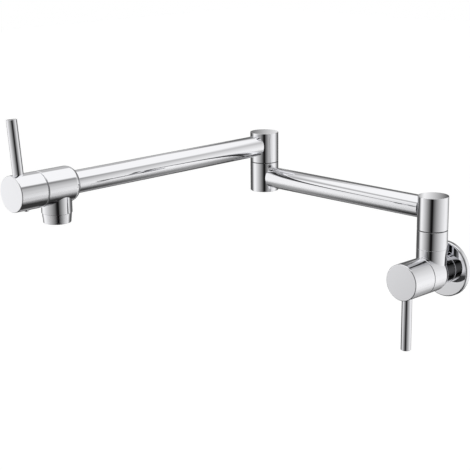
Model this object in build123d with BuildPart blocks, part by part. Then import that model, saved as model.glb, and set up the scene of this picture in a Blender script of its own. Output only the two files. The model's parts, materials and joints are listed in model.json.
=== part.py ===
from build123d import *
import os

# A wall mounted pot filler, in millimetres. The wall is the plane y = 0 and the object stands out
# of it towards -Y. The origin is where the inlet's axis meets the wall, +X runs along the wall and
# +Z is up. The arms are modelled as they stand at rest: the first runs along the wall towards -X,
# the second stands out from the wall towards -Y.

# ---------------------------------------------------------------- driving dimensions
# reach and heights
column_standoff = 25.0  # wall to the column's axis
lower_reach = 225.0  # column's axis to the elbow's axis
upper_reach = 278.0  # elbow's axis to the outlet's axis
body_top = 25.5  # height of the body's stub, where the collar stands
collar_height = 18.0
head_skirt = 8.7  # underside of the swivel head to the underside of the lower arm
head_crown = 2.0  # top of the lower arm to the top of the swivel head
socket_collar = 4.9  # top of the lower arm to the top of the elbow's lower half
elbow_skirt = 6.3  # underside of the elbow's upper half to the underside of the upper arm
elbow_crown = 3.0  # top of the upper arm to the top of the elbow

# tubes and barrels
tube_diameter = 22.0
tube_wall = 1.5
column_diameter = 30.0
wall_barrel_diameter = 36.0
spout_barrel_diameter = 34.0
barrel_front = 24.0  # cartridge seat to the barrel's front face
wall_body_front = 42.0  # wall to the front face of the fixed barrel
spout_body_half = 20.0  # spout barrel, to each side of the outlet's axis
spout_shoulder_radius = 8.0
neck_diameter = 26.0
seat_wall = 4.0

# flange
flange_diameter = 56.0
flange_thickness = 5.0
flange_edge = 1.5
flange_rim = 4.0
gasket_width = 8.0
gasket_thickness = 1.5

# inlet thread, G 1/2
inlet_thread_diameter = 20.96
inlet_thread_length = 11.5
inlet_relief_diameter = 22.0  # behind the thread, where the washer lies
inlet_washer_thickness = 2.0
inlet_washer_bore = 11.0

# swivel joints
spindle_diameter = 18.0
spigot_diameter = 16.0
post_bore = 10.0
post_depth = 10.5  # thread of the swivel post in the body's stub
elbow_thread_depth = 7.5
post_flange_diameter = 24.0
post_flange_height = 5.0
slide_ring_thickness = 0.8
slide_ring_setback = 0.6
barrel_end_wall = 4.0
waterway_diameter = 9.0
tube_seat_radius = 12.0  # axis of a barrel to the end of the tube let into it
screw_groove_depth = 1.9
screw_groove_width = 2.8
screw_groove_place = 3.9  # groove's middle, from the bearing face
ring_groove_width = 2.2
ring_groove_place = 9.3  # groove's middle, from the bearing face
spindle_length = 13.0
ring_section = 1.8
column_screw_direction = (0.0, 1.0, 0.0)
elbow_screw_direction = (0.92, -0.39, 0.0)
joint_screw_diameter = 4.0
joint_screw_play = 0.4  # end of the grub screw's thread to the spindle
joint_screw_tip = 2.4
joint_screw_key = 2.0

# cartridge
cartridge_bore = 20.0
seal_thickness = 1.6
fixed_disc_thickness = 3.2
moving_disc_thickness = 2.8
disc_chamber = 14.0
disc_port_diameter = 4.4
disc_port_offset = 3.6
driver_width = 3.0
driver_depth = 1.0
stem_foot_top = 11.9
window_width = 7.0
window_low = 8.0
window_high = 11.5
window_section_diameter = 17.0
window_section_top = 14.0
cartridge_flange_diameter = 23.0
cartridge_flange_top = 25.4
cartridge_hexagon = 17.0
cartridge_top = 29.0
stem_diameter = 8.0
spline_diameter = 7.2
spline_start = 30.0
spline_end = 43.0

# handles
hub_length = 29.6
hub_gap = 0.4
hub_cavity_diameter = 26.0
hub_cavity_top = 31.0
hub_edge = 0.6
lever_diameter = 10.0
lever_place = 44.0  # cartridge seat to the lever's axis
lever_sink = 2.5
lever_spigot_diameter = 6.0
lever_spigot_root = 7.0
lever_edge = 0.5
wall_lever_reach = 69.5
spout_lever_reach = 66.8
spout_lever_lean = 7.0  # degrees past upright
hub_screw_diameter = 5.0
hub_screw_length = 8.0
hub_screw_place = 40.0
hub_screw_key = 2.5
hub_plug_gap = 0.5  # outer end of the grub screw to the plug
hub_plug_stand = 1.0  # plug's face out of the hub's side
hub_plug_edge = 0.4

# outlet
outlet_diameter = 29.0
outlet_drop = 25.0  # barrel's axis to the underside of the outlet's collar
outlet_bore_diameter = 24.0
outlet_bore_depth = 9.0
outlet_waterway = 8.0
aerator_diameter = 28.0
aerator_mouth_diameter = 26.0
aerator_height = 9.3
aerator_thread_height = 6.5
aerator_bore_diameter = 21.0
aerator_lip = 1.0
aerator_lip_height = 1.5
aerator_washer_thickness = 1.6
insert_height = 11.0
insert_wall = 1.0
insert_floor = 2.0
insert_cell = 2.6
insert_pitch = 3.1

# clearances
running = 0.05  # radial, a turning shaft in its hole
disc_running = 0.07
seated = 0.05  # radial, a part fixed in its hole
groove_play = 0.3
edge_break = 0.3

# ---------------------------------------------------------------- derived places
column_radius = column_diameter / 2
tube_radius = tube_diameter / 2
spindle_radius = spindle_diameter / 2
spigot_radius = spigot_diameter / 2
cavity_radius = cartridge_bore / 2
flange_radius = flange_diameter / 2
neck_radius = neck_diameter / 2
outlet_radius = outlet_diameter / 2
joint_screw_length = column_radius - groove_play - spindle_radius - joint_screw_play

head_height = head_skirt + tube_diameter + head_crown
head_arm_height = head_skirt + tube_radius  # lower arm's axis above the underside of the head
socket_height = barrel_end_wall + tube_diameter + socket_collar
socket_arm_height = barrel_end_wall + tube_radius  # lower arm's axis above the socket's underside
elbow_head_height = elbow_skirt + tube_diameter + elbow_crown
elbow_head_arm_height = elbow_skirt + tube_radius  # upper arm's axis above the head's underside

collar_top = body_top + collar_height
head_base = collar_top + slide_ring_thickness
head_top = head_base + head_height
lower_arm_z = head_base + head_arm_height
socket_base = lower_arm_z - socket_arm_height
socket_top = socket_base + socket_height
elbow_head_base = socket_top + slide_ring_thickness
elbow_head_top = elbow_head_base + elbow_head_height
upper_arm_z = elbow_head_base + elbow_head_arm_height

column_y = -column_standoff
elbow_x = -lower_reach
outlet_y = column_y - upper_reach
wall_seat_y = barrel_front - wall_body_front
spout_front_y = outlet_y - spout_body_half
spout_seat_y = spout_front_y + barrel_front
spout_rear_y = outlet_y + spout_body_half
spout_tube_end_y = spout_seat_y + seat_wall + 1.0

OUT = (0.0, -1.0, 0.0)  # out of the wall
UP = (0.0, 0.0, 1.0)
DOWN = (0.0, 0.0, -1.0)


def save(part, name):
    """Labels a finished piece and writes its file."""
    part.label = name
    export_step(part, f"parts/{name}.step")


def upright(x, y, z, up=True):
    """Section plane of a turned part that stands on (x, y, z): radius along X, height along Z."""
    return Plane(origin=(x, y, z), x_dir=(1, 0, 0), z_dir=OUT if up else (0.0, 1.0, 0.0))


def lying(x, y, z):
    """Section plane of a turned part on an axis out of the wall: radius along X, height along -Y."""
    return Plane(origin=(x, y, z), x_dir=(1, 0, 0), z_dir=DOWN)


def turned(section, points, mode=Mode.ADD):
    """Revolves an outline of (radius, height) points about the section plane's upright axis."""
    with BuildSketch(section) as outline:
        with BuildLine():
            Polyline(*points, close=True)
        make_face()
    revolve(outline.sketch.faces(), axis=Axis(section.origin, section.y_dir), mode=mode)


def drilled(start, direction, length, diameter, mode=Mode.SUBTRACT):
    """A round hole, or a round rod, from a point along a direction."""
    with BuildSketch(Plane(origin=start, z_dir=direction)) as end:
        Circle(diameter / 2)
    extrude(end.sketch.faces(), amount=length, mode=mode)


def along(point, direction, distance):
    """The point that lies a distance along a direction from another."""
    return tuple(Vector(*point) + Vector(*direction).normalized() * distance)


def ring_profile(inner, outer, low, high):
    """Outline of a plain ring, in radius and height."""
    return [(inner, low), (outer, low), (outer, high), (inner, high)]


# ---------------------------------------------------------------- swivel joints
def spindle_outline(root_radius, root_depth, flange_radius_here, flange_height):
    """Outline of a hollow post: a threaded root below its bearing face, a grooved spindle above."""
    bore = post_bore / 2
    outline = [(bore, -root_depth), (root_radius, -root_depth)]
    if flange_height:
        outline += [(root_radius, -flange_height), (flange_radius_here, -flange_height)]
        outline += [(flange_radius_here, 0)]
    else:
        outline += [(root_radius, 0)]
    outline += [(spindle_radius, 0)]
    for place, width, depth in ((screw_groove_place, screw_groove_width, screw_groove_depth),
                                (ring_groove_place, ring_groove_width, ring_section + running)):
        outline += [(spindle_radius, place - width / 2), (spindle_radius - depth, place - width / 2)]
        outline += [(spindle_radius - depth, place + width / 2), (spindle_radius, place + width / 2)]
    outline += [(spindle_radius, spindle_length), (bore, spindle_length)]
    return outline


def make_joint_seal(name, section):
    """The rubber ring in a post's upper groove."""
    outer = spindle_radius - running
    with BuildPart() as seal:
        turned(section, ring_profile(outer - ring_section, outer, ring_groove_place - ring_section / 2,
                                     ring_groove_place + ring_section / 2))
    save(seal.part, name)


def make_slide_ring(name, section):
    """The thin plastic ring that a turning barrel slides on."""
    inner = spindle_radius + groove_play
    with BuildPart() as slide_ring:
        turned(section, ring_profile(inner, column_radius - slide_ring_setback, 0, slide_ring_thickness))
    save(slide_ring.part, name)


def make_joint_screw(name, axis_point, direction):
    """Grub screw in a barrel's wall, whose plain tip runs in the post's groove."""
    outer_end = column_radius - groove_play
    inner_end = outer_end - joint_screw_length
    tip_end = spindle_radius - screw_groove_depth + groove_play
    with BuildPart() as screw:
        drilled(along(axis_point, direction, inner_end), direction, joint_screw_length,
                joint_screw_diameter, Mode.ADD)
        drilled(along(axis_point, direction, tip_end), direction, inner_end - tip_end,
                joint_screw_tip, Mode.ADD)
        with BuildSketch(Plane(origin=along(axis_point, direction, outer_end), z_dir=direction)) as key:
            RegularPolygon(joint_screw_key / 2, 6, major_radius=False)
        extrude(key.sketch.faces(), amount=-joint_screw_length / 2, mode=Mode.SUBTRACT)
    save(screw.part, name)


def joint_screw_hole(axis_point, direction):
    """Cuts the grub screw's hole through the wall of a barrel."""
    drilled(axis_point, direction, 2 * column_radius, joint_screw_diameter + 2 * seated)


def tube_socket(axis_point, direction):
    """Cuts the seat of an arm's tube, and the waterway behind it, into the side of a barrel."""
    drilled(along(axis_point, direction, tube_seat_radius), direction, column_radius,
            tube_diameter + 2 * seated)
    drilled(axis_point, direction, tube_seat_radius, waterway_diameter)


# ---------------------------------------------------------------- valves
def make_cartridge(prefix, seat, port_direction):
    """The parts of a quarter-turn cartridge that stay still in the barrel."""
    section = lying(*seat)
    disc_base = seal_thickness
    disc_top = disc_base + fixed_disc_thickness
    chamber = disc_chamber / 2
    with BuildPart() as seal:
        turned(section, ring_profile(waterway_diameter / 2, window_section_diameter / 2 - seated,
                                     0, seal_thickness))
    save(seal.part, f"{prefix}_seat_seal")

    ports = Plane(origin=along(seat, OUT, disc_base), x_dir=port_direction, z_dir=OUT)
    with BuildPart() as disc:
        with BuildSketch(ports):
            Circle(chamber - seated)
            with Locations((disc_port_offset, 0), (-disc_port_offset, 0)):
                Circle(disc_port_diameter / 2, mode=Mode.SUBTRACT)
        extrude(amount=disc_top - disc_base)
    save(disc.part, f"{prefix}_fixed_disc")

    stem_hole = stem_diameter / 2 + running
    section_radius = window_section_diameter / 2
    thread_radius = cavity_radius - 2 * seated
    with BuildPart() as housing:
        turned(section, [
            (chamber, disc_base), (section_radius, disc_base), (section_radius, window_section_top),
            (thread_radius, window_section_top), (thread_radius, barrel_front),
            (cartridge_flange_diameter / 2, barrel_front),
            (cartridge_flange_diameter / 2, cartridge_flange_top), (stem_hole, cartridge_flange_top),
            (stem_hole, stem_foot_top + 2 * seated), (chamber, stem_foot_top + 2 * seated),
        ])
        with BuildSketch(Plane(origin=along(seat, OUT, cartridge_flange_top), z_dir=OUT)):
            RegularPolygon(cartridge_hexagon / 2, 6, major_radius=False)
            Circle(stem_hole, mode=Mode.SUBTRACT)
        extrude(amount=cartridge_top - cartridge_flange_top)
        with BuildSketch(Plane(origin=along(seat, OUT, window_low), x_dir=port_direction, z_dir=OUT)):
            Rectangle(window_width, cartridge_bore)
        extrude(amount=window_high - window_low, mode=Mode.SUBTRACT)
    save(housing.part, f"{prefix}_cartridge")


def make_handle(prefix, seat, barrel_diameter, lever_direction, lever_reach, screw_direction):
    """Everything that turns with a valve's lever."""
    section = lying(*seat)
    barrel_radius = barrel_diameter / 2
    across = Plane(origin=seat, x_dir=lever_direction, z_dir=OUT)
    disc_base = seal_thickness + fixed_disc_thickness
    disc_top = disc_base + moving_disc_thickness
    disc_radius = disc_chamber / 2 - disc_running
    with BuildPart() as disc:
        with BuildSketch(across.offset(disc_base)):
            Circle(disc_radius)
            with Locations((disc_port_offset, 0), (-disc_port_offset, 0)):
                Circle(disc_port_diameter / 2, mode=Mode.SUBTRACT)
        extrude(amount=moving_disc_thickness)
        with BuildSketch(across.offset(disc_top - driver_depth)):
            Rectangle(driver_width, disc_chamber)
        extrude(amount=driver_depth, mode=Mode.SUBTRACT)
    save(disc.part, f"{prefix}_moving_disc")

    shaft = stem_diameter / 2
    with BuildPart() as stem:
        with BuildSketch(across.offset(disc_top - driver_depth)):
            Circle(disc_radius)
            Rectangle(driver_width - 2 * seated, disc_chamber, mode=Mode.INTERSECT)
        extrude(amount=stem_foot_top - disc_top + driver_depth)
        turned(section, [
            (0, disc_top + driver_depth), (shaft, disc_top + driver_depth), (shaft, spline_start),
            (spline_diameter / 2, spline_start), (spline_diameter / 2, spline_end), (0, spline_end),
        ])
    save(stem.part, f"{prefix}_stem")

    hub_base = barrel_front + hub_gap
    hub_face = hub_base + hub_length
    lever_axis = along(seat, OUT, lever_place)
    screw_axis = along(seat, OUT, hub_screw_place)
    lever_root = barrel_radius - lever_sink
    with BuildPart() as hub:
        turned(section, [
            (hub_cavity_diameter / 2, hub_base), (barrel_radius - edge_break, hub_base),
            (barrel_radius, hub_base + edge_break), (barrel_radius, hub_face - hub_edge),
            (barrel_radius - hub_edge, hub_face), (0, hub_face), (0, spline_end + 2 * seated),
            (spline_diameter / 2 + seated, spline_end + 2 * seated),
            (spline_diameter / 2 + seated, hub_cavity_top), (hub_cavity_diameter / 2, hub_cavity_top),
        ])
        drilled(along(lever_axis, lever_direction, lever_root), lever_direction, barrel_radius,
                lever_diameter + 2 * seated)
        drilled(along(lever_axis, lever_direction, lever_spigot_root), lever_direction, barrel_radius,
                lever_spigot_diameter + 2 * seated)
        drilled(screw_axis, screw_direction, barrel_diameter, hub_screw_diameter + 2 * seated)
    save(hub.part, f"{prefix}_handle_hub")

    with BuildPart() as lever:
        drilled(along(lever_axis, lever_direction, lever_root), lever_direction,
                lever_reach - lever_root, lever_diameter, Mode.ADD)
        chamfer(lever.faces().sort_by(Axis(lever_axis, lever_direction))[-1].edges(), lever_edge)
        drilled(along(lever_axis, lever_direction, lever_spigot_root + seated), lever_direction,
                lever_root - lever_spigot_root - seated, lever_spigot_diameter, Mode.ADD)
    save(lever.part, f"{prefix}_lever")

    screw_start = spline_diameter / 2 + seated
    with BuildPart() as screw:
        drilled(along(screw_axis, screw_direction, screw_start), screw_direction, hub_screw_length,
                hub_screw_diameter, Mode.ADD)
        key_plane = Plane(origin=along(screw_axis, screw_direction, screw_start + hub_screw_length),
                          z_dir=screw_direction)
        with BuildSketch(key_plane) as key:
            RegularPolygon(hub_screw_key / 2, 6, major_radius=False)
        extrude(key.sketch.faces(), amount=-hub_screw_length / 2, mode=Mode.SUBTRACT)
    save(screw.part, f"{prefix}_hub_screw")

    plug_start = screw_start + hub_screw_length + hub_plug_gap
    with BuildPart() as plug:
        drilled(along(screw_axis, screw_direction, plug_start), screw_direction,
                barrel_radius + hub_plug_stand - plug_start, hub_screw_diameter, Mode.ADD)
        chamfer(plug.faces().sort_by(Axis(screw_axis, screw_direction))[-1].edges(), hub_plug_edge)
    save(plug.part, f"{prefix}_hub_plug")


def barrel_outline(radius, front, rear, shoulder):
    """Outline of a valve barrel on its cartridge seat: broken front edge, rounded or domed rear."""
    with BuildLine() as outline:
        if shoulder < radius:
            Line((0, rear), (radius - shoulder, rear))
        RadiusArc((radius - shoulder, rear), (radius, rear + shoulder), -shoulder)
        Polyline((radius, rear + shoulder), (radius, front - edge_break),
                 (radius - edge_break, front), (0, front), (0, rear))
    return outline.line


os.makedirs("parts", exist_ok=True)

# ---------------------------------------------------------------- on the wall
wall_seat = (0.0, wall_seat_y, 0.0)
wall_radius = wall_barrel_diameter / 2
wall_dome = column_standoff + wall_seat_y  # centre of the domed rear, in front of the cartridge seat
inlet_depth = -wall_seat_y - seat_wall
on_wall = lying(0, 0, 0)

with BuildPart() as valve_body:
    with BuildSketch(lying(*wall_seat)) as barrel:
        add(barrel_outline(wall_radius, barrel_front, wall_dome - wall_radius, wall_radius))
        make_face()
    revolve(barrel.sketch.faces(), axis=Axis(wall_seat, OUT))
    turned(on_wall, ring_profile(0, neck_radius, 0, column_standoff))
    turned(upright(0, column_y, 0), [(0, 0), (column_radius, 0), (column_radius, body_top - edge_break),
                                     (column_radius - edge_break, body_top), (0, body_top)])
    drilled(wall_seat, OUT, barrel_front, cartridge_bore)
    drilled((0, 0, 0), OUT, -wall_seat_y, waterway_diameter)
    drilled((0, 0, 0), OUT, inlet_thread_length, inlet_thread_diameter)
    drilled((0, -inlet_thread_length, 0), OUT, inlet_depth - inlet_thread_length, inlet_relief_diameter)
    drilled((0, column_y, 0), UP, body_top, outlet_waterway)
    drilled((0, column_y, body_top - post_depth), UP, post_depth, spigot_diameter + 2 * seated)
save(valve_body.part, "valve_body")

with BuildPart() as wall_flange:
    neck_hole = neck_radius + groove_play
    groove_floor = neck_radius + ring_section + running
    groove_low = (flange_thickness - ring_groove_width) / 2
    gasket_outer = flange_radius - flange_rim
    gasket_inner = gasket_outer - gasket_width
    turned(on_wall, [
        (neck_hole, 0), (gasket_inner, 0), (gasket_inner, gasket_thickness),
        (gasket_outer, gasket_thickness), (gasket_outer, 0), (flange_radius, 0),
        (flange_radius, flange_thickness - flange_edge),
        (flange_radius - flange_edge, flange_thickness), (neck_hole, flange_thickness),
        (neck_hole, groove_low + ring_groove_width), (groove_floor, groove_low + ring_groove_width),
        (groove_floor, groove_low), (neck_hole, groove_low),
    ])
save(wall_flange.part, "wall_flange")

with BuildPart() as flange_gasket:
    turned(on_wall, ring_profile(gasket_inner + seated, gasket_outer - seated, 0, gasket_thickness))
save(flange_gasket.part, "flange_gasket")

with BuildPart() as flange_grip_ring:
    turned(on_wall, ring_profile(neck_radius + running, groove_floor - running,
                                 (flange_thickness - ring_section) / 2,
                                 (flange_thickness + ring_section) / 2))
save(flange_grip_ring.part, "flange_grip_ring")

with BuildPart() as inlet_washer:
    turned(on_wall, ring_profile(inlet_washer_bore / 2, inlet_relief_diameter / 2 - 2 * seated,
                                 inlet_depth - inlet_washer_thickness, inlet_depth))
save(inlet_washer.part, "inlet_washer")

with BuildPart() as column_collar:
    turned(upright(0, column_y, 0), [
        (spigot_radius + 2 * seated, body_top), (column_radius - edge_break, body_top),
        (column_radius, body_top + edge_break), (column_radius, collar_top - edge_break),
        (column_radius - edge_break, collar_top),
        (post_flange_diameter / 2 + 2 * seated, collar_top),
        (post_flange_diameter / 2 + 2 * seated, collar_top - post_flange_height),
        (spigot_radius + 2 * seated, collar_top - post_flange_height),
    ])
save(column_collar.part, "column_collar")

column_joint = upright(0, column_y, collar_top)
with BuildPart() as swivel_post:
    turned(column_joint, spindle_outline(spigot_radius, collar_height + post_depth,
                                         post_flange_diameter / 2, post_flange_height))
save(swivel_post.part, "swivel_post")
make_joint_seal("column_seal", column_joint)

make_cartridge("wall", wall_seat, (1, 0, 0))
make_handle("wall", wall_seat, wall_barrel_diameter, DOWN, wall_lever_reach, (-1, 0, 0))

# ---------------------------------------------------------------- lower arm
head_screw_point = (0.0, column_y, collar_top + screw_groove_place)
with BuildPart() as swivel_head:
    turned(upright(0, column_y, 0), [
        (0, head_top - barrel_end_wall), (spindle_radius + running, head_top - barrel_end_wall),
        (spindle_radius + running, head_base), (column_radius - edge_break, head_base),
        (column_radius, head_base + edge_break), (column_radius, head_top - edge_break),
        (column_radius - edge_break, head_top), (0, head_top),
    ])
    tube_socket((0, column_y, lower_arm_z), (-1, 0, 0))
    joint_screw_hole(head_screw_point, column_screw_direction)
save(swivel_head.part, "swivel_head")
make_slide_ring("column_slide_ring", column_joint)
make_joint_screw("column_screw", head_screw_point, column_screw_direction)

with BuildPart() as lower_arm_tube:
    with BuildSketch(Plane(origin=(-tube_seat_radius, column_y, lower_arm_z), z_dir=(-1, 0, 0))):
        Circle(tube_radius)
        Circle(tube_radius - tube_wall, mode=Mode.SUBTRACT)
    extrude(amount=lower_reach - 2 * tube_seat_radius)
save(lower_arm_tube.part, "lower_arm_tube")

socket_screw_point = (elbow_x, column_y, elbow_head_base - screw_groove_place)
with BuildPart() as elbow_socket:
    turned(upright(elbow_x, column_y, 0), [
        (0, socket_base), (column_radius - edge_break, socket_base),
        (column_radius, socket_base + edge_break), (column_radius, socket_top - edge_break),
        (column_radius - edge_break, socket_top), (spindle_radius + running, socket_top),
        (spindle_radius + running, socket_base + barrel_end_wall), (0, socket_base + barrel_end_wall),
    ])
    tube_socket((elbow_x, column_y, lower_arm_z), (1, 0, 0))
    joint_screw_hole(socket_screw_point, elbow_screw_direction)
save(elbow_socket.part, "elbow_socket")
elbow_joint = upright(elbow_x, column_y, elbow_head_base, up=False)
make_slide_ring("elbow_slide_ring", elbow_joint)
make_joint_screw("elbow_screw", socket_screw_point, elbow_screw_direction)

# ---------------------------------------------------------------- upper arm
with BuildPart() as elbow_head:
    turned(upright(elbow_x, column_y, 0), [
        (spigot_radius + seated, elbow_head_base), (column_radius - edge_break, elbow_head_base),
        (column_radius, elbow_head_base + edge_break), (column_radius, elbow_head_top - edge_break),
        (column_radius - edge_break, elbow_head_top), (0, elbow_head_top),
        (0, elbow_head_top - barrel_end_wall), (spigot_radius + seated, elbow_head_top - barrel_end_wall),
    ])
    tube_socket((elbow_x, column_y, upper_arm_z), OUT)
save(elbow_head.part, "elbow_head")

with BuildPart() as elbow_post:
    turned(elbow_joint, spindle_outline(spigot_radius, elbow_thread_depth, spigot_radius, 0))
save(elbow_post.part, "elbow_post")
make_joint_seal("elbow_seal", elbow_joint)

upper_tube_start_y = column_y - tube_seat_radius
with BuildPart() as upper_arm_tube:
    with BuildSketch(Plane(origin=(elbow_x, upper_tube_start_y, upper_arm_z), z_dir=OUT)):
        Circle(tube_radius)
        Circle(tube_radius - tube_wall, mode=Mode.SUBTRACT)
    extrude(amount=upper_tube_start_y - spout_tube_end_y)
save(upper_arm_tube.part, "upper_arm_tube")

spout_seat = (elbow_x, spout_seat_y, upper_arm_z)
spout_rear = spout_rear_y - spout_seat_y
outlet_base = upper_arm_z - outlet_drop
with BuildPart() as spout_body:
    with BuildSketch(lying(*spout_seat)) as barrel:
        add(barrel_outline(spout_barrel_diameter / 2, barrel_front, -spout_rear, spout_shoulder_radius))
        make_face()
    revolve(barrel.sketch.faces(), axis=Axis(spout_seat, OUT))
    turned(upright(elbow_x, outlet_y, 0), [
        (0, outlet_base), (outlet_radius - edge_break, outlet_base),
        (outlet_radius, outlet_base + edge_break), (outlet_radius, upper_arm_z), (0, upper_arm_z),
    ])
    drilled(spout_seat, OUT, barrel_front, cartridge_bore)
    drilled((elbow_x, spout_rear_y, upper_arm_z), OUT, spout_rear, waterway_diameter)
    drilled((elbow_x, spout_rear_y, upper_arm_z), OUT, spout_rear_y - spout_tube_end_y,
            tube_diameter + 2 * seated)
    drilled((elbow_x, outlet_y, upper_arm_z), DOWN, outlet_drop, outlet_waterway)
    drilled((elbow_x, outlet_y, outlet_base), UP, outlet_bore_depth, outlet_bore_diameter)
save(spout_body.part, "spout_body")

make_cartridge("spout", spout_seat, (1, 0, 0))
spout_lever_direction = tuple(Vector(*UP).rotate(Axis.Y, -spout_lever_lean))
spout_screw_direction = tuple(Vector(*DOWN).rotate(Axis.Y, -spout_lever_lean))
make_handle("spout", spout_seat, spout_barrel_diameter, spout_lever_direction, spout_lever_reach,
            spout_screw_direction)

# ---------------------------------------------------------------- aerator
under_outlet = upright(elbow_x, outlet_y, outlet_base)
with BuildPart() as aerator_housing:
    bore = aerator_bore_diameter / 2
    turned(under_outlet, [
        (bore - aerator_lip, -aerator_height), (aerator_mouth_diameter / 2 - edge_break, -aerator_height),
        (aerator_mouth_diameter / 2, edge_break - aerator_height), (aerator_diameter / 2, -edge_break),
        (aerator_diameter / 2 - edge_break, 0), (outlet_bore_diameter / 2 - seated, 0),
        (outlet_bore_diameter / 2 - seated, aerator_thread_height), (bore, aerator_thread_height),
        (bore, aerator_lip_height - aerator_height),
        (bore - aerator_lip, aerator_lip_height - aerator_height),
    ])
save(aerator_housing.part, "aerator_housing")

insert_base = aerator_lip_height - aerator_height
insert_radius = aerator_bore_diameter / 2 - seated
with BuildPart() as aerator_insert:
    turned(under_outlet, ring_profile(0, insert_radius, insert_base, insert_base + insert_floor))
    turned(under_outlet, ring_profile(insert_radius - insert_wall, insert_radius,
                                      insert_base + insert_floor, insert_base + insert_height))
    with BuildSketch(Plane(origin=(elbow_x, outlet_y, outlet_base + insert_base))):
        RegularPolygon(insert_cell / 2, 6, major_radius=False)
        for ring in (1, 2):
            with PolarLocations(ring * insert_pitch, 6 * ring):
                RegularPolygon(insert_cell / 2, 6, major_radius=False)
    extrude(amount=insert_floor, mode=Mode.SUBTRACT)
save(aerator_insert.part, "aerator_insert")

with BuildPart() as aerator_washer:
    turned(under_outlet, ring_profile(insert_radius - insert_wall - 1.0, outlet_bore_diameter / 2 - seated,
                                      aerator_thread_height,
                                      aerator_thread_height + aerator_washer_thickness))
save(aerator_washer.part, "aerator_washer")
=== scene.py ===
import json
import math

import bmesh
import bpy
import numpy as np
from mathutils import Matrix, Vector


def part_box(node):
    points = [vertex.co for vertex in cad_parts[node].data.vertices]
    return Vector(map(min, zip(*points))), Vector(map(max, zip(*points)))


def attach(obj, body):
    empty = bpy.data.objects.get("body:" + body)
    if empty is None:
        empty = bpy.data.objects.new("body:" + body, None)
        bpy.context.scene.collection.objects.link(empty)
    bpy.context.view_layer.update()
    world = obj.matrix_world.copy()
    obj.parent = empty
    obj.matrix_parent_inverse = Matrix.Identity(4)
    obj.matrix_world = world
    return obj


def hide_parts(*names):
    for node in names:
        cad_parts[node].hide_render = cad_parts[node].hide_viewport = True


# A wall mounted pot filler in polished chrome. The CAD frame gives every place; the bright skins
# below are fine surfaces turned on the same axes, because a mirror finish shows every facet.

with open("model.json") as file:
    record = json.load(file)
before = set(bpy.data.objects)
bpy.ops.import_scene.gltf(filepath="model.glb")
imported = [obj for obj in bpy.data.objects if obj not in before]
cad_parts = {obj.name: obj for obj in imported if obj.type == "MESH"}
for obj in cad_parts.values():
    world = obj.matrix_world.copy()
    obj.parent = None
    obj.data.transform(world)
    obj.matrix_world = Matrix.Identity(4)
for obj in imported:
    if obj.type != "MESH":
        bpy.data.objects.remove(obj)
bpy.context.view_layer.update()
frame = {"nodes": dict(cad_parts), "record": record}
nodes = frame["nodes"]

MM = 0.001
UP = Vector((0, 0, 1))
DOWN = Vector((0, 0, -1))
OUT = Vector((0, -1, 0))  # out of the wall
RIGHT = Vector((1, 0, 0))

# ---------------------------------------------------------------- fineness of the surfaces
TURN_SEGMENTS = 128
QUARTER_STEPS = 6  # points along a quarter turn of a rounded corner
SHOULDER_STEPS = 24  # points along a barrel's rounded rear
STUB_SPOKES = 9  # points from a stub's axis to its wall, along its foot
WINDOW_ROWS = 8  # rows of faces that a drilled hole's patch replaces
PATCH_ROWS = 4  # rows from that window's edge to the hole's rim
HOLD = 0.06 * MM  # flat beside each rounded corner that keeps its shading flat
SHOULDER_EDGE = 0.02 * MM
TINY_EDGE = 0.08 * MM
SOFT_EDGE = 0.3 * MM
WALL_SEAM = 0.5 * MM
SPOUT_SEAM = 0.9 * MM
HUB_EDGE = 0.9 * MM
HOLE_EDGE = 0.15 * MM
HOLE_MARGIN = 0.55 * MM
MERGE = 1e-7  # metres

# ---------------------------------------------------------------- sizes that the frame's boxes don't say
COLUMN_BORE = 18.1 * MM / 2
COLLAR_BORE = 16.2 * MM / 2
END_WALL = 4.0 * MM
TUBE_WALL = 1.5 * MM
SHOULDER = 8.0 * MM  # radius of the spout barrel's rounded rear
CARTRIDGE_BORE = 20.0 * MM / 2
WATERWAY = 9.0 * MM / 2
NECK = 26.0 * MM / 2
NECK_FRONT = 29.2 * MM / 2  # in front of the flange
NECK_STEP = 5.1 * MM  # where that part starts, from the wall
NECK_FRONT_EDGE = 0.6 * MM
DOME = 15.0 * MM  # depth of the wall barrel's domed rear, behind the column's axis
INLET_BORE = 20.96 * MM / 2
INLET_DEPTH = 14.0 * MM
INLET_THREAD = 11.5 * MM
INLET_RELIEF = 22.0 * MM / 2
SEAT_DEPTH = 24.0 * MM
FLANGE_BORE = 26.6 * MM / 2
GASKET_INNER = 16.0 * MM
GASKET_OUTER = 24.0 * MM
GASKET_DEPTH = 1.5 * MM
FLANGE_EDGE = 1.5 * MM
HUB_CAVITY = 26.0 * MM / 2
HUB_CAVITY_DEPTH = 6.6 * MM
LEVER_EDGE = 0.5 * MM
LEVER_ROOT = 8.0 * MM
STUB_INSET = 1.0 * MM  # how far a stub's foot sinks into its barrel
SPOUT_SOCKET_DEPTH = 5.0 * MM
OUTLET_STEP = 0.5 * MM  # how much smaller the outlet's radius is than the column's
AERATOR_BORE = 21.0 * MM / 2
AERATOR_LIP = 19.0 * MM / 2
AERATOR_LIP_DEPTH = 1.5 * MM
AERATOR_MOUTH = 26.0 * MM / 2
JOINT_SCREW_HOLE = 4.1 * MM / 2
JOINT_SCREW_DEPTH = 5.5 * MM
HUB_SCREW_HOLE = 5.1 * MM / 2
HUB_SCREW_DEPTH = 14.0 * MM
PLUG_RADIUS = 2.5 * MM
PLUG_FOOT = 12.2 * MM  # inner end, from the hub's axis
PLUG_STAND = 1.0 * MM  # how far it stands out of the hub
PLUG_EDGE = 0.4 * MM


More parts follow.
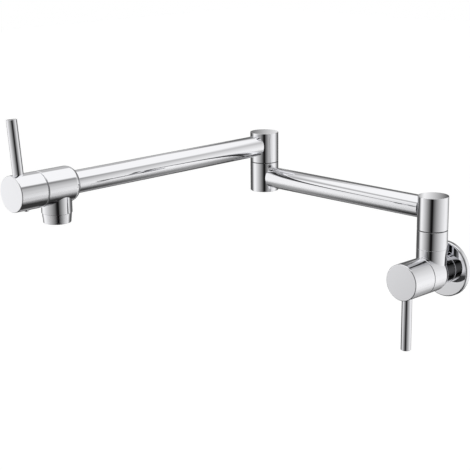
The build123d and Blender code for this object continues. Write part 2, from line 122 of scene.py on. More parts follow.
# ---------------------------------------------------------------- surfaces
def rounded(corners, closed):
    """Outline of (radius, height) points through corners given as (radius, height, edge radius).
    Each corner becomes a tangent arc: its centre lies on the bisector at edge / sin(half angle), and
    its ends lie edge / tan(half angle) along the two sides, with one holding point beyond each."""
    points = []
    count = len(corners)
    for i, (radius, height, edge) in enumerate(corners):
        here = np.array((radius, height))
        if not closed and i in (0, count - 1):
            points.append(here)
            continue
        before = np.array(corners[i - 1][:2]) - here
        after = np.array(corners[(i + 1) % count][:2]) - here
        room = 0.45 * min(np.linalg.norm(before), np.linalg.norm(after))
        before /= np.linalg.norm(before)
        after /= np.linalg.norm(after)
        half = 0.5 * math.acos(np.clip(before @ after, -1, 1))
        reach = min(edge / math.tan(half), room)
        edge = reach * math.tan(half)
        centre = here + (before + after) / np.linalg.norm(before + after) * edge / math.sin(half)
        start = here + before * reach - centre
        side = math.copysign(1.0, before[1] * after[0] - before[0] * after[1])
        sweep = side * (math.pi - 2 * half)
        steps = max(2, round(QUARTER_STEPS * abs(sweep) / (math.pi / 2)))
        turn = np.linspace(0, sweep, steps + 1)
        arc = np.stack((start[0] * np.cos(turn) - start[1] * np.sin(turn),
                        start[0] * np.sin(turn) + start[1] * np.cos(turn)), axis=1)
        points.append(here + before * (reach + HOLD))
        points.extend(centre + arc)
        points.append(here + after * (reach + HOLD))
    return np.array(points)


def across(axis):
    """Two unit vectors that make a right-handed frame with the axis."""
    axis = np.array(axis, float)
    first = np.cross(axis, (0, 0, 1) if abs(axis[2]) < 0.9 else (1, 0, 0))
    first /= np.linalg.norm(first)
    return first, np.cross(axis, first)


def turned(origin, axis, outline):
    """Surface of revolution: point = origin + r (u cos a + v sin a) + h axis, for each outline point
    (r, h) down the rows and each angle a across the columns."""
    u, v = across(axis)
    angle = np.linspace(0, 2 * math.pi, TURN_SEGMENTS, endpoint=False)
    ring = np.outer(np.cos(angle), u) + np.outer(np.sin(angle), v)
    rows = outline[:, 0, None, None] * ring + outline[:, 1, None, None] * np.array(axis, float)
    return np.array(origin, float) + rows


def quads(rows, columns, wrap_rows=False):
    """Corner numbers of a grid's faces, closed across its columns and, if asked, down its rows."""
    i = np.arange(rows if wrap_rows else rows - 1)[:, None]
    j = np.arange(columns)[None, :]
    below = (i + 1) % rows
    beside = (j + 1) % columns
    return np.stack((i * columns + j, i * columns + beside, below * columns + beside,
                     below * columns + j), axis=-1)


def drilled(origin, axis, outline, wrap, hole):
    """A turned surface with a blind hole in its wall. The faces in a window round the hole are left
    out, and a patch runs from the window's edge to the hole's rim and down the hole. Across the wall a
    point lies at depth R - sqrt(R^2 - t^2), where t is its distance to the side of the hole's axis."""
    direction, height, radius, depth = hole
    direction = np.array(direction, float)
    axis = np.array(axis, float)
    side = np.cross(axis, direction)
    u, v = across(axis)
    step = 2 * math.pi / TURN_SEGMENTS
    middle = math.atan2(direction @ v, direction @ u)
    wall = outline[:, 0].max()
    reach = radius + HOLE_MARGIN
    columns = math.ceil(reach / wall / step)
    heights = height + np.linspace(-reach, reach, WINDOW_ROWS + 1)
    upright = np.minimum(outline[:-1, 0], outline[1:, 0]) > wall - MERGE
    after = int(np.argmax(upright & (outline[:-1, 1] < heights[0]) & (outline[1:, 1] > heights[-1]))) + 1
    inserted = np.stack((np.full(WINDOW_ROWS + 1, wall), heights), axis=1)
    outline = np.vstack((outline[:after], inserted, outline[after:]))
    grid = turned(origin, axis, outline)
    faces = quads(len(outline), TURN_SEGMENTS, wrap)
    first = round(middle / step) - columns
    window = np.arange(first, first + 2 * columns) % TURN_SEGMENTS
    keep = np.ones(faces.shape[:2], bool)
    keep[np.ix_(np.arange(after, after + WINDOW_ROWS), window)] = False

    edge_columns = np.arange(first, first + 2 * columns + 1) * step - middle
    low, high = heights[0] - height, heights[-1] - height
    inner = heights[1:-1] - height
    turn = np.concatenate((edge_columns, np.full(inner.size, edge_columns[-1]), edge_columns[::-1],
                           np.full(inner.size, edge_columns[0])))
    rise = np.concatenate((np.full(edge_columns.size, low), inner,
                           np.full(edge_columns.size, high), inner[::-1]))
    edge = np.stack((wall * np.sin(turn), rise), axis=1)
    toward = edge / np.linalg.norm(edge, axis=1)[:, None]
    rim = toward * (radius + HOLE_EDGE + HOLD)
    rows = [(edge * (1 - t) + rim * t, 0.0) for t in np.linspace(0, 1, PATCH_ROWS)]
    for t in np.linspace(0, math.pi / 2, QUARTER_STEPS):
        rows.append((toward * (radius + HOLE_EDGE * (1 - math.sin(t))), HOLE_EDGE * (1 - math.cos(t))))
    rows.append((toward * radius, HOLE_EDGE + HOLD))
    rows.append((toward * radius, depth))
    rows.append((toward * 0.0, depth))
    flat = np.array([r[0] for r in rows])
    sunk = np.array([r[1] for r in rows])[:, None]
    out = np.sqrt(wall ** 2 - flat[..., 0] ** 2) - sunk
    patch = (np.array(origin, float) + (height + flat[..., 1, None]) * axis
             + flat[..., 0, None] * side + out[..., None] * direction)
    return [(grid, faces[keep]), (patch, quads(len(rows), len(toward)).reshape(-1, 4))]


def shell(origin, axis, corners, closed=True, hole=None):
    """The grids of one turned surface, drilled if a hole is given."""
    outline = rounded(corners, closed)
    if hole:
        return drilled(origin, axis, outline, closed, hole)
    grid = turned(origin, axis, outline)
    return [(grid, quads(len(outline), TURN_SEGMENTS, closed).reshape(-1, 4))]


def shoulder_corners(radius, rear, inner, shoulder, depth):
    """Corners of a barrel's rounded rear, from the neck of radius inner out to the barrel. At each turn
    t up to a quarter the corner lies at radius - shoulder (1 - sin t), and depth (1 - cos t) past the
    rear."""
    turn = np.linspace(math.asin((inner - radius + shoulder) / shoulder), math.pi / 2, SHOULDER_STEPS)
    along = rear + depth * (1 - np.cos(turn))
    out = radius - shoulder * (1 - np.sin(turn))
    return [(r, h, SHOULDER_EDGE) for r, h in zip(out, along)]


def saddled(origin, axis, other, radius, barrel, top, domed=False):
    """A round stub that grows out of a barrel. Its foot follows the barrel, at
    height = sqrt((barrel - inset)^2 - x^2) above the barrel's axis, where x is measured across it. Its
    wall has one holding row close above the foot and runs up to a closed, softly edged end. Where the
    barrel's rear is domed, the distance y behind the origin counts too:
    height = sqrt((barrel - inset)^2 - x^2 - (y barrel / dome)^2), or 0 where that has no root."""
    angle = np.linspace(0, 2 * math.pi, TURN_SEGMENTS, endpoint=False)
    u = np.cross(np.array(other, float), np.array(axis, float))
    v = np.cross(np.array(axis, float), u)
    spokes = np.linspace(0, radius, STUB_SPOKES)
    behind = np.minimum(np.sin(angle) * (v @ np.array(other, float)), 0) if domed else 0
    foot = np.sqrt(np.maximum((barrel - STUB_INSET) ** 2 - spokes[:, None] ** 2 * (
        np.cos(angle) ** 2 + (behind * barrel / DOME) ** 2), 0))
    end = rounded([(radius, 0, 0), (radius, top, SOFT_EDGE), (0, top, 0)], False)[1:]
    around = np.concatenate((spokes, [radius], end[:, 0]))[:, None]
    height = np.vstack((foot, foot[-1] + HOLD, np.repeat(end[:, 1, None], TURN_SEGMENTS, axis=1)))
    grid = (np.array(origin, float) + (around * np.cos(angle))[..., None] * u
            + (around * np.sin(angle))[..., None] * v + height[..., None] * np.array(axis, float))
    return [(grid, quads(len(grid), TURN_SEGMENTS).reshape(-1, 4))]


def piece(name, grids, material, body, stands_for=()):
    """One mesh object from several grids, with poles and patch edges merged, riding on a body."""
    points, faces, start = [], [], 0
    for grid, corners in grids:
        points.append(grid.reshape(-1, 3))
        faces.append(corners.reshape(-1, 4) + start)
        start += points[-1].shape[0]
    mesh = bpy.data.meshes.new(name)
    mesh.from_pydata(np.concatenate(points).tolist(), [], np.concatenate(faces).tolist())
    work = bmesh.new()
    work.from_mesh(mesh)
    bmesh.ops.remove_doubles(work, verts=work.verts, dist=MERGE)
    bmesh.ops.dissolve_degenerate(work, edges=work.edges, dist=MERGE)
    work.to_mesh(mesh)
    work.free()
    mesh.shade_smooth()
    mesh.materials.append(material)
    made = bpy.data.objects.new(name, mesh)
    bpy.context.scene.collection.objects.link(made)
    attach(made, body)
    if stands_for:
        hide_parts(*stands_for)
    return made


# ---------------------------------------------------------------- materials
def mottle_group():
    """Shared fine unevenness of a finish: cloudy haze from slow noise plus fine rubbed streaks, put
    out as a roughness, and the same two as a height."""
    group = bpy.data.node_groups.new("finish_unevenness", "ShaderNodeTree")
    sockets = group.interface
    sockets.new_socket("Roughness", in_out="INPUT", socket_type="NodeSocketFloat")
    sockets.new_socket("Haze", in_out="INPUT", socket_type="NodeSocketFloat")
    sockets.new_socket("Cloud Scale", in_out="INPUT", socket_type="NodeSocketFloat")
    sockets.new_socket("Grain Scale", in_out="INPUT", socket_type="NodeSocketFloat")
    sockets.new_socket("Roughness", in_out="OUTPUT", socket_type="NodeSocketFloat")
    sockets.new_socket("Height", in_out="OUTPUT", socket_type="NodeSocketFloat")
    tree, link = group.nodes, group.links.new
    given = tree.new("NodeGroupInput")
    made = tree.new("NodeGroupOutput")
    place = tree.new("ShaderNodeTexCoord")
    cloud = tree.new("ShaderNodeTexNoise")
    cloud.inputs["Detail"].default_value = 3.0
    grain = tree.new("ShaderNodeTexNoise")
    grain.inputs["Detail"].default_value = 2.0
    both = tree.new("ShaderNodeMath")
    both.operation = "MULTIPLY"
    spread = tree.new("ShaderNodeMath")
    spread.operation = "MULTIPLY_ADD"
    height = tree.new("ShaderNodeMath")
    height.operation = "ADD"
    link(place.outputs["Object"], cloud.inputs["Vector"])
    link(place.outputs["Object"], grain.inputs["Vector"])
    link(given.outputs["Cloud Scale"], cloud.inputs["Scale"])
    link(given.outputs["Grain Scale"], grain.inputs["Scale"])
    link(cloud.outputs["Fac"], both.inputs[0])
    link(grain.outputs["Fac"], both.inputs[1])
    link(both.outputs["Value"], spread.inputs[0])
    link(given.outputs["Haze"], spread.inputs[1])
    link(given.outputs["Roughness"], spread.inputs[2])
    link(cloud.outputs["Fac"], height.inputs[0])
    link(grain.outputs["Fac"], height.inputs[1])
    link(spread.outputs["Value"], made.inputs["Roughness"])
    link(height.outputs["Value"], made.inputs["Height"])
    return group


UNEVEN = mottle_group()


def finish(name, colour, metallic, roughness, haze, cloud, grain, bump, darker=0.0):
    """A Principled material whose roughness, tone and bump all follow the shared unevenness."""
    material = bpy.data.materials.new(name)
    material.use_nodes = True
    tree, link = material.node_tree.nodes, material.node_tree.links.new
    shader = tree["Principled BSDF"]
    shader.inputs["Metallic"].default_value = metallic
    uneven = tree.new("ShaderNodeGroup")
    uneven.node_tree = UNEVEN
    uneven.inputs["Roughness"].default_value = roughness
    uneven.inputs["Haze"].default_value = haze
    uneven.inputs["Cloud Scale"].default_value = cloud
    uneven.inputs["Grain Scale"].default_value = grain
    tone = tree.new("ShaderNodeMix")
    tone.data_type = "RGBA"
    tone.inputs["A"].default_value = (*colour, 1)
    tone.inputs["B"].default_value = (*[c * (1 - darker) for c in colour], 1)
    raised = tree.new("ShaderNodeBump")
    raised.inputs["Strength"].default_value = 1.0
    raised.inputs["Distance"].default_value = bump
    link(uneven.outputs["Height"], tone.inputs["Factor"])
    link(tone.outputs["Result"], shader.inputs["Base Color"])
    link(uneven.outputs["Roughness"], shader.inputs["Roughness"])
    link(uneven.outputs["Height"], raised.inputs["Height"])
    link(raised.outputs["Normal"], shader.inputs["Normal"])
    return material


chrome = finish("polished_chrome", (0.926, 0.927, 0.95), 1.0, 0.015, 0.05, 35.0, 900.0, 0.4e-6, 0.01)
raw_brass = finish("machined_brass", (0.72, 0.53, 0.26), 1.0, 0.22, 0.3, 60.0, 1500.0, 8e-6, 0.25)
steel = finish("stainless_steel", (0.56, 0.56, 0.57), 1.0, 0.2, 0.25, 120.0, 2500.0, 5e-6, 0.1)
rubber = finish("black_rubber", (0.02, 0.02, 0.021), 0.0, 0.55, 0.4, 90.0, 2200.0, 15e-6, 0.3)
acetal = finish("black_slide_plastic", (0.03, 0.03, 0.033), 0.0, 0.35, 0.2, 150.0, 3000.0, 4e-6, 0.2)
ceramic = finish("white_ceramic", (0.84, 0.84, 0.81), 0.0, 0.12, 0.1, 80.0, 1800.0, 1e-6, 0.04)
aerator_grey = finish("aerator_plastic", (0.62, 0.63, 0.64), 0.0, 0.3, 0.25, 140.0, 2600.0, 4e-6, 0.12)

SLOT_MATERIALS = {"chrome": chrome, "brass": raw_brass, "stainless": steel, "rubber": rubber,
                  "ceramic": ceramic, "slide_plastic": acetal, "aerator_plastic": aerator_grey}
for part in frame["record"]["subparts"]:
    mesh = nodes[part["node"]].data
    mesh.materials.clear()
    mesh.materials.append(SLOT_MATERIALS[part["material_slot"]])


# ---------------------------------------------------------------- places, read from the frame
def middle(node):
    """Middle of a node's box."""
    low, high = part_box(node)
    return (low + high) / 2


def size(node):
    """Sides of a node's box."""
    low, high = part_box(node)
    return high - low


collar_low, collar_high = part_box("column_collar")
head_low, head_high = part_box("swivel_head")
socket_low, socket_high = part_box("elbow_socket")
elbow_low, elbow_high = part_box("elbow_head")
column = middle("column_collar")
elbow = middle("elbow_socket")
column_radius = size("column_collar").x / 2
tube_radius = size("lower_arm_tube").z / 2
flange_radius = size("wall_flange").x / 2
flange_depth = size("wall_flange").y
wall_radius = size("wall_handle_hub").x / 2
spout_radius = size("spout_handle_hub").x / 2
body_front = -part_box("valve_body")[0].y
body_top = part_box("valve_body")[1].z
spout_axis_z = middle("spout_handle_hub").z
outlet_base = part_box("spout_body")[0].z
outlet_radius = column_radius - OUTLET_STEP
spout_front = -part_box("spout_body")[0].y
spout_back = -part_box("spout_body")[1].y
outlet_y = -(spout_front + spout_back) / 2
spout_origin = Vector((elbow.x, 0, spout_axis_z))

# ---------------------------------------------------------------- on the wall
piece("flange_skin", shell((0, 0, 0), OUT, [
    (FLANGE_BORE, 0, TINY_EDGE), (GASKET_INNER, 0, TINY_EDGE), (GASKET_INNER, GASKET_DEPTH, TINY_EDGE),
    (GASKET_OUTER, GASKET_DEPTH, TINY_EDGE), (GASKET_OUTER, 0, TINY_EDGE),
    (flange_radius, 0, SOFT_EDGE), (flange_radius, flange_depth, FLANGE_EDGE),
    (FLANGE_BORE, flange_depth, TINY_EDGE),
]), chrome, "wall_mount", ["wall_flange"])

seat = body_front - SEAT_DEPTH
valve_shell = shell((0, 0, 0), OUT, [
    (INLET_BORE, 0, SOFT_EDGE), (NECK, 0, SOFT_EDGE), (NECK, NECK_STEP, TINY_EDGE),
    (NECK_FRONT, NECK_STEP, NECK_FRONT_EDGE),
    *shoulder_corners(wall_radius, -column.y - DOME, NECK_FRONT, wall_radius, DOME),
    (wall_radius, body_front, WALL_SEAM), (CARTRIDGE_BORE, body_front, TINY_EDGE),
    (CARTRIDGE_BORE, seat, TINY_EDGE), (WATERWAY, seat, TINY_EDGE), (WATERWAY, INLET_DEPTH, TINY_EDGE),
    (INLET_RELIEF, INLET_DEPTH, TINY_EDGE), (INLET_RELIEF, INLET_THREAD, TINY_EDGE),
    (INLET_BORE, INLET_THREAD, TINY_EDGE),
])
stub = saddled((0, column.y, 0), UP, OUT, column_radius, wall_radius, body_top, domed=True)
piece("valve_body_skin", valve_shell + stub, chrome, "wall_mount", ["valve_body"])

piece("collar_skin", shell((column.x, column.y, 0), UP, [
    (COLLAR_BORE, collar_low.z, TINY_EDGE), (column_radius, collar_low.z, SOFT_EDGE),
    (column_radius, collar_high.z, SOFT_EDGE), (COLLAR_BORE, collar_high.z, TINY_EDGE),
]), chrome, "wall_mount", ["column_collar"])


# ---------------------------------------------------------------- handles
def handle(prefix, origin, radius, seam, lever_direction, reach, screw_direction):
    """A valve's hub, lever and screw plug. The hub is a cup on the barrel's axis, drilled for its grub
    screw."""
    low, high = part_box(f"{prefix}_handle_hub")
    rear, front = -high.y, -low.y
    screw_place = -middle(f"{prefix}_hub_screw").y
    lever_place = -middle(f"{prefix}_lever").y
    body = f"{prefix}_handle"
    piece(f"{prefix}_hub_skin", shell(origin, OUT, [
        (0, rear + HUB_CAVITY_DEPTH, 0), (HUB_CAVITY, rear + HUB_CAVITY_DEPTH, TINY_EDGE),
        (HUB_CAVITY, rear, TINY_EDGE), (radius, rear, seam), (radius, front, HUB_EDGE),
        (0, front, 0),
    ], closed=False, hole=(screw_direction, screw_place, HUB_SCREW_HOLE, HUB_SCREW_DEPTH)),
        chrome, body, [f"{prefix}_handle_hub"])
    lever_radius = size(f"{prefix}_lever").y / 2
    piece(f"{prefix}_lever_skin", shell(origin + OUT * lever_place, lever_direction, [
        (0, LEVER_ROOT, 0), (lever_radius, LEVER_ROOT, TINY_EDGE), (lever_radius, reach, LEVER_EDGE),
        (0, reach, 0),
    ], closed=False), chrome, body, [f"{prefix}_lever"])
    piece(f"{prefix}_plug_skin", shell(origin + OUT * screw_place, screw_direction, [
        (0, PLUG_FOOT, 0), (PLUG_RADIUS, PLUG_FOOT, TINY_EDGE),
        (PLUG_RADIUS, radius + PLUG_STAND, PLUG_EDGE), (0, radius + PLUG_STAND, 0),
    ], closed=False), chrome, body, [f"{prefix}_hub_plug"])


SPOUT_LEVER_LEAN = math.radians(7.0)
spout_lever_direction = Vector((-math.sin(SPOUT_LEVER_LEAN), 0, math.cos(SPOUT_LEVER_LEAN)))
spout_lever_radius = size("spout_lever").y / 2
spout_lever_reach = ((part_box("spout_lever")[1].z - spout_axis_z - spout_lever_radius
                      * math.sin(SPOUT_LEVER_LEAN)) / math.cos(SPOUT_LEVER_LEAN))
handle("wall", Vector((0, 0, 0)), wall_radius, WALL_SEAM, DOWN, -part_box("wall_lever")[0].z, -RIGHT)
handle("spout", spout_origin, spout_radius, SPOUT_SEAM, spout_lever_direction, spout_lever_reach,
       -spout_lever_direction)

# ---------------------------------------------------------------- lower arm
column_screw = middle("column_screw")
elbow_screw = middle("elbow_screw")
elbow_screw_direction = Vector((elbow_screw.x - elbow.x, elbow_screw.y - elbow.y, 0)).normalized()
piece("swivel_head_skin", shell((column.x, column.y, 0), UP, [
    (0, head_high.z - END_WALL, 0), (COLUMN_BORE, head_high.z - END_WALL, TINY_EDGE),
    (COLUMN_BORE, head_low.z, TINY_EDGE), (column_radius, head_low.z, SOFT_EDGE),
    (column_radius, head_high.z, SOFT_EDGE), (0, head_high.z, 0),
], closed=False, hole=(-OUT, column_screw.z, JOINT_SCREW_HOLE, JOINT_SCREW_DEPTH)),
    chrome, "lower_arm", ["swivel_head"])
piece("elbow_socket_skin", shell((elbow.x, elbow.y, 0), UP, [
    (0, socket_low.z, 0), (column_radius, socket_low.z, SOFT_EDGE),
    (column_radius, socket_high.z, TINY_EDGE), (COLUMN_BORE, socket_high.z, TINY_EDGE),
    (COLUMN_BORE, socket_low.z + END_WALL, TINY_EDGE), (0, socket_low.z + END_WALL, 0),
], closed=False, hole=(elbow_screw_direction, elbow_screw.z, JOINT_SCREW_HOLE, JOINT_SCREW_DEPTH)),
    chrome, "lower_arm", ["elbow_socket"])


def tube(name, node, axis, body):
    """An arm's tube between its two seats, as its node has it."""
    low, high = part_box(node)
    centre = middle(node)
    half = abs((high - low) @ Vector(axis)) / 2
    piece(name, shell(centre, axis, [
        (tube_radius - TUBE_WALL, -half, TINY_EDGE), (tube_radius, -half, TINY_EDGE),
        (tube_radius, half, TINY_EDGE), (tube_radius - TUBE_WALL, half, TINY_EDGE),
    ]), chrome, body, [node])


tube("lower_tube_skin", "lower_arm_tube", RIGHT, "lower_arm")

# ---------------------------------------------------------------- upper arm
piece("elbow_head_skin", shell((elbow.x, elbow.y, 0), UP, [
    (0, elbow_high.z - END_WALL, 0), (COLLAR_BORE, elbow_high.z - END_WALL, TINY_EDGE),
    (COLLAR_BORE, elbow_low.z, TINY_EDGE), (column_radius, elbow_low.z, TINY_EDGE),
    (column_radius, elbow_high.z, SOFT_EDGE), (0, elbow_high.z, 0),
], closed=False), chrome, "upper_arm", ["elbow_head"])
tube("upper_tube_skin", "upper_arm_tube", OUT, "upper_arm")

spout_seat = spout_front - SEAT_DEPTH
spout_shell = shell(spout_origin, OUT, [
    (tube_radius, spout_back + SPOUT_SOCKET_DEPTH, TINY_EDGE),
    *shoulder_corners(spout_radius, spout_back, tube_radius + TINY_EDGE, SHOULDER, SHOULDER),
    (spout_radius, spout_front, SPOUT_SEAM), (CARTRIDGE_BORE, spout_front, TINY_EDGE),
    (CARTRIDGE_BORE, spout_seat, TINY_EDGE), (tube_radius, spout_seat, TINY_EDGE),
])
outlet_drop = spout_axis_z - outlet_base
outlet = saddled((elbow.x, outlet_y, spout_axis_z), DOWN, OUT, outlet_radius, spout_radius, outlet_drop)
piece("spout_body_skin", spout_shell + outlet, chrome, "upper_arm", ["spout_body"])

aerator_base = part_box("aerator_housing")[0].z
aerator_lip_top = aerator_base + AERATOR_LIP_DEPTH
aerator_radius = size("aerator_housing").x / 2
piece("aerator_skin", shell((elbow.x, outlet_y, 0), UP, [
    (AERATOR_LIP, aerator_base, TINY_EDGE), (AERATOR_MOUTH, aerator_base, SOFT_EDGE),
    (aerator_radius, outlet_base, SOFT_EDGE), (AERATOR_BORE, outlet_base, TINY_EDGE),
    (AERATOR_BORE, aerator_lip_top, TINY_EDGE), (AERATOR_LIP, aerator_lip_top, TINY_EDGE),
]), chrome, "upper_arm", ["aerator_housing"])

# ---------------------------------------------------------------- camera
IMAGE_SIDE = 470
FOCAL_PIXELS = 1300.0
SENSOR = 36.0
VIEW_AZIMUTH = math.radians(45.43)
VIEW_ELEVATION = math.radians(14.68)
VIEW_ROLL = math.radians(-0.56)
VIEW_TARGET = Vector((-138.13, -156.08, 38.29)) * MM
VIEW_DISTANCE = 1260.57 * MM

toward_camera = Vector((math.sin(VIEW_AZIMUTH), -math.cos(VIEW_AZIMUTH), 0))
camera_right = Vector((math.cos(VIEW_AZIMUTH), math.sin(VIEW_AZIMUTH), 0))
camera_back = toward_camera * math.cos(VIEW_ELEVATION) + UP * math.sin(VIEW_ELEVATION)
camera_up = camera_back.cross(camera_right)
rolled_right = camera_right * math.cos(VIEW_ROLL) + camera_up * math.sin(VIEW_ROLL)
rolled_up = camera_back.cross(rolled_right)
lens = bpy.data.cameras.new("photo_lens")
lens.sensor_width = SENSOR
lens.lens = FOCAL_PIXELS / IMAGE_SIDE * SENSOR
camera = bpy.data.objects.new("photo_camera", lens)
camera.matrix_world = Matrix.Translation(VIEW_TARGET + camera_back * VIEW_DISTANCE) @ Matrix(
    (rolled_right, rolled_up, camera_back)).transposed().to_4x4()
bpy.context.scene.collection.objects.link(camera)
bpy.context.scene.camera = camera

# ---------------------------------------------------------------- studio
FLOOR_HEIGHT = -1.5
FLOOR_SIDE = 30.0
FLOOR_SHINE = 0.35
ROOM_LIGHT = 0.8
TENT_RADIUS = 0.7
TENT_DEPTH = 0.5
TENT_ROWS = 65
TENT_COLUMNS = 128
CARD_HEIGHT = -1.3
CARD_RADIUS = 3.2
CARD_RINGS = 9
CARD_COLUMNS = 64
LAMP_SIZE = 1.2
LAMP_WATTS = 12.0
LAMP_PLACE = Vector((0.2, -0.5, 1.5))  # from the object's middle

# The tent is two light panels that meet in a dark gap beside the lens and brighten evenly to the
# sides, with a dim back. Each ramp below runs straight between a few given stops.
# Brightness by azimuth from the camera, in degrees to the right.
SIDES = ((-180, 0.1), (-132, 0.1), (-106, 0.95), (-95, 0.95), (-8, 0.02), (5, 0.0), (90, 1.0),
         (105, 1.0), (135, 0.15), (180, 0.1))
# Two strip lights stand at the back, where only the flat tops mirror them.
TOPS = ((140, 0.12), (153, 0.12), (156, 1.0), (157, 0.15), (173, 0.15), (174, 1.0), (178, 0.15),
        (180, 0.15))
TOP_REACH = ((12, 0), (13, 1), (17, 1), (18, 0))
# How far up and down the panels reach, by height in degrees above the middle. The back starts at
# an azimuth of its own, and the front's width goes by the azimuth to either side.
REAR_START = 130.0
SIDE_REACH = ((-42, 0), (-33, 1), (24, 1), (42, 0))
BACK_REACH = ((10, 1), (16, 1), (20, 0.9), (33, 0.9), (42, 0))
LEFT_BACK_REACH = ((8, 1), (14, 0.6), (33, 0.55), (42, 0))
FRONT_REACH = ((-62, 0), (-54, 1), (60, 1), (75, 0))
FRONT_WIDTH = ((20, 1), (30, 0))
# The light falls off towards the floor.
LIGHT_FALL = ((-60, 0.7), (-34, 0.75), (-15, 1.0))
# The dark joint between the panels and the ceiling: its height and level by azimuth, and how it
# softens away from its middle, more slowly below it on the right.
JOINT_HEIGHT = ((-180, 42), (74, 44), (90, 35), (106, 29), (180, 29))
JOINT_LEVEL = ((-180, 0.5), (60, 0.4), (77, 0.2), (90, 0.45), (140, 0.9))
JOINT_SOFTNESS = ((0, 0), (3, 0.1), (8, 1))
RIGHT_SOFTNESS = ((-60, 1.0), (-30, 0.75), (-12, 0.4), (0, 0), (4, 0.1), (13, 1))
# Brightness of the dark card on the floor, by distance from the middle, in metres.
CARD = ((0.0, 0.05), (0.9, 0.05), (1.8, 0.85), (2.5, 1.0))


def ramp(tree, link, source, stops):
    """Value that runs straight between stops of (input, value)."""
    low, high = stops[0][0], stops[-1][0]
    top = max(value for _, value in stops)
    share = tree.new("ShaderNodeMapRange")
    share.inputs["From Min"].default_value = low
    share.inputs["From Max"].default_value = high
    link(source, share.inputs["Value"])
    curve = tree.new("ShaderNodeFloatCurve")
    points = curve.mapping.curves[0].points
    while len(points) < len(stops):
        points.new(0.5, 0.5)
    for point, (place, value) in zip(points, stops):
        point.location = ((place - low) / (high - low), value / top)
        point.handle_type = "VECTOR"
    curve.mapping.update()
    link(share.outputs["Result"], curve.inputs["Value"])
    return math_node(tree, link, "MULTIPLY", curve.outputs["Value"], top)


def math_node(tree, link, operation, first, second=None):
    """Result of one sum on sockets or plain numbers."""
    node = tree.new("ShaderNodeMath")
    node.operation = operation
    for socket, value in zip(node.inputs, (first, second)):
        if isinstance(value, (int, float)):
            socket.default_value = value
        elif value is not None:
            link(value, socket)
    return node.outputs["Value"]


def blend(tree, link, share, first, second):
    """first where share is 0, second where it is 1."""
    mix = tree.new("ShaderNodeMix")
    link(share, mix.inputs["Factor"])
    for socket, value in ((mix.inputs["A"], first), (mix.inputs["B"], second)):
        if isinstance(value, (int, float)):
            socket.default_value = value
        else:
            link(value, socket)
    return mix.outputs["Result"]


def length_of(tree, link, vector):
    """Length of a vector."""
    length = tree.new("ShaderNodeVectorMath")
    length.operation = "LENGTH"
    link(vector, length.inputs[0])
    return length.outputs["Value"]


def offset_from_middle(tree, link):
    """Place relative to the object's middle, turned so that the camera looks along +Y."""
    place = tree.new("ShaderNodeTexCoord")
    offset = tree.new("ShaderNodeVectorMath")
    offset.operation = "SUBTRACT"
    offset.inputs[1].default_value = VIEW_TARGET
    link(place.outputs["Object"], offset.inputs[0])
    turn = tree.new("ShaderNodeVectorRotate")
    turn.rotation_type = "Z_AXIS"
    turn.inputs["Angle"].default_value = -VIEW_AZIMUTH
    link(offset.outputs["Vector"], turn.inputs["Vector"])
    return turn.outputs["Vector"]


def shade_material(name, make_level):
    """See-through material that dims what lies behind it to a level."""
    material = bpy.data.materials.new(name)
    material.use_nodes = True
    tree, link = material.node_tree.nodes, material.node_tree.links.new
    tree.clear()
    made = tree.new("ShaderNodeOutputMaterial")
    clear = tree.new("ShaderNodeBsdfTransparent")
    link(make_level(tree, link), clear.inputs["Color"])
    link(clear.outputs["BSDF"], made.inputs["Surface"])
    return material


def tent_level(tree, link):
    """Brightness of the tent: panels up to their reach and white past it, times the dark joint and the
    fall of light."""
    offset = offset_from_middle(tree, link)
    apart = tree.new("ShaderNodeSeparateXYZ")
    link(offset, apart.inputs["Vector"])
    right, away, up = apart.outputs
    toward = math_node(tree, link, "MULTIPLY", away, -1.0)
    around = math_node(tree, link, "DEGREES", math_node(tree, link, "ARCTAN2", right, toward))
    rise = math_node(tree, link, "DIVIDE", up, length_of(tree, link, offset))
    rise = math_node(tree, link, "DEGREES", math_node(tree, link, "ARCSINE", rise))
    behind = math_node(tree, link, "GREATER_THAN", around, TOPS[0][0])
    above = math_node(tree, link, "MULTIPLY", behind, ramp(tree, link, rise, TOP_REACH))
    panels = blend(tree, link, above, ramp(tree, link, around, SIDES), ramp(tree, link, around, TOPS))
    rear = math_node(tree, link, "GREATER_THAN", math_node(tree, link, "ABSOLUTE", around), REAR_START)
    rear = math_node(tree, link, "MULTIPLY", rear, math_node(tree, link, "GREATER_THAN", rise, 0.0))
    rightward = math_node(tree, link, "GREATER_THAN", around, 0.0)
    back_reach = blend(tree, link, rightward, ramp(tree, link, rise, LEFT_BACK_REACH),
                       ramp(tree, link, rise, BACK_REACH))
    reach = blend(tree, link, rear, ramp(tree, link, rise, SIDE_REACH), back_reach)
    front = ramp(tree, link, math_node(tree, link, "ABSOLUTE", around), FRONT_WIDTH)
    reach = blend(tree, link, front, reach, ramp(tree, link, rise, FRONT_REACH))
    panels = blend(tree, link, reach, 1.0, panels)
    height = ramp(tree, link, around, JOINT_HEIGHT)
    over_joint = math_node(tree, link, "SUBTRACT", rise, height)
    to_joint = math_node(tree, link, "ABSOLUTE", over_joint)
    softness = blend(tree, link, rightward, ramp(tree, link, to_joint, JOINT_SOFTNESS),
                     ramp(tree, link, over_joint, RIGHT_SOFTNESS))
    joint = blend(tree, link, softness, ramp(tree, link, around, JOINT_LEVEL), 1.0)
    level = math_node(tree, link, "MULTIPLY", panels, joint)
    return math_node(tree, link, "MULTIPLY", level, ramp(tree, link, rise, LIGHT_FALL))


def card_level(tree, link):
    """Brightness of the floor card by the level distance from the object's middle."""
    offset = offset_from_middle(tree, link)
    flat = tree.new("ShaderNodeVectorMath")
    flat.operation = "MULTIPLY"
    flat.inputs[1].default_value = (1, 1, 0)
    link(offset, flat.inputs[0])
    return ramp(tree, link, length_of(tree, link, flat.outputs["Vector"]), CARD)


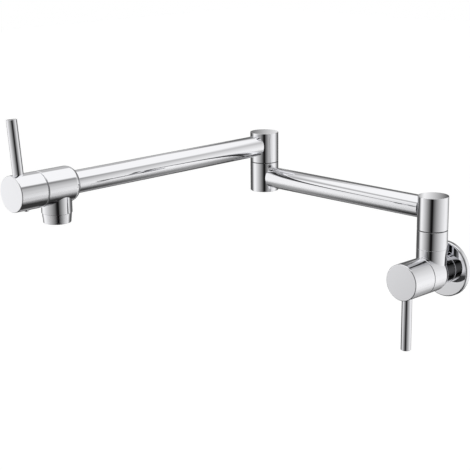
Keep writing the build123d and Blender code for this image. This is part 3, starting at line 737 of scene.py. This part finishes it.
def tent_grid():
    """Half a sphere above the middle and half an ellipsoid below it."""
    rise = np.linspace(-math.pi / 2, math.pi / 2, TENT_ROWS)[:, None]
    turn = np.linspace(0, 2 * math.pi, TENT_COLUMNS, endpoint=False)[None, :]
    depth = np.where(rise < 0, TENT_DEPTH, TENT_RADIUS)
    return np.stack((TENT_RADIUS * np.cos(rise) * np.cos(turn), TENT_RADIUS * np.cos(rise) * np.sin(turn),
                     depth * np.sin(rise) * np.ones_like(turn)), axis=-1) + np.array(VIEW_TARGET)


def card_grid():
    """Flat rings out to the card's edge: point = middle + r (cos a, sin a) at the card's height."""
    radius = np.linspace(0, CARD_RADIUS, CARD_RINGS)[:, None]
    turn = np.linspace(0, 2 * math.pi, CARD_COLUMNS, endpoint=False)[None, :]
    return np.stack((VIEW_TARGET.x + radius * np.cos(turn), VIEW_TARGET.y + radius * np.sin(turn),
                     np.full((CARD_RINGS, CARD_COLUMNS), CARD_HEIGHT)), axis=-1)


def shade(name, grid, material):
    """A stage piece that only mirrors see."""
    mesh = bpy.data.meshes.new(name)
    mesh.from_pydata(grid.reshape(-1, 3).tolist(), [], quads(*grid.shape[:2]).reshape(-1, 4).tolist())
    mesh.materials.append(material)
    made = bpy.data.objects.new(name, mesh)
    bpy.context.scene.collection.objects.link(made)
    made.visible_camera = False
    made.visible_diffuse = False
    made.visible_shadow = False
    made.visible_transmission = False


shade("studio_tent", tent_grid(), shade_material("tent_panels", tent_level))
shade("floor_card", card_grid(), shade_material("floor_card", card_level))


def lit_background(tree, link, plain, shown):
    """Strength of a pale surface: plain for its own light, shown where a lens, a mirror or glass
    looks at it."""
    path = tree.new("ShaderNodeLightPath")
    seen = math_node(tree, link, "MAXIMUM", path.outputs["Is Camera Ray"], path.outputs["Is Glossy Ray"])
    seen = math_node(tree, link, "MAXIMUM", seen, path.outputs["Is Transmission Ray"])
    extra = math_node(tree, link, "MULTIPLY", seen, shown - plain)
    return math_node(tree, link, "ADD", extra, plain)


floor_mesh = bpy.data.meshes.new("floor")
half = FLOOR_SIDE / 2
floor_mesh.from_pydata([(-half, -half, FLOOR_HEIGHT), (half, -half, FLOOR_HEIGHT),
                        (half, half, FLOOR_HEIGHT), (-half, half, FLOOR_HEIGHT)], [], [(0, 1, 2, 3)])
floor = bpy.data.objects.new("pale_floor", floor_mesh)
floor_paint = bpy.data.materials.new("pale_floor")
floor_paint.use_nodes = True
floor_tree = floor_paint.node_tree
floor_shader = floor_tree.nodes["Principled BSDF"]
floor_shader.inputs["Base Color"].default_value = (0.8, 0.8, 0.8, 1)
floor_shader.inputs["Roughness"].default_value = 0.9
floor_shader.inputs["Emission Color"].default_value = (1, 1, 1, 1)
floor_tree.links.new(lit_background(floor_tree.nodes, floor_tree.links.new, 0.0, FLOOR_SHINE),
                     floor_shader.inputs["Emission Strength"])
floor_mesh.materials.append(floor_paint)
bpy.context.scene.collection.objects.link(floor)

world = bpy.data.worlds.new("white_room")
bpy.context.scene.world = world
world.use_nodes = True
world_tree = world.node_tree
background = world_tree.nodes["Background"]
background.inputs["Color"].default_value = (1, 1, 1, 1)
world_tree.links.new(lit_background(world_tree.nodes, world_tree.links.new, ROOM_LIGHT, 1.0),
                     background.inputs["Strength"])

key = bpy.data.lights.new("overhead_softbox", "AREA")
key.shape = "DISK"
key.size = LAMP_SIZE
key.energy = LAMP_WATTS
lamp = bpy.data.objects.new("overhead_softbox", key)
lamp.location = VIEW_TARGET + LAMP_PLACE
lamp.rotation_euler = (VIEW_TARGET - lamp.location).to_track_quat("-Z", "Y").to_euler()
lamp.visible_glossy = False
bpy.context.scene.collection.objects.link(lamp)

bpy.context.scene.view_settings.view_transform = "Standard"
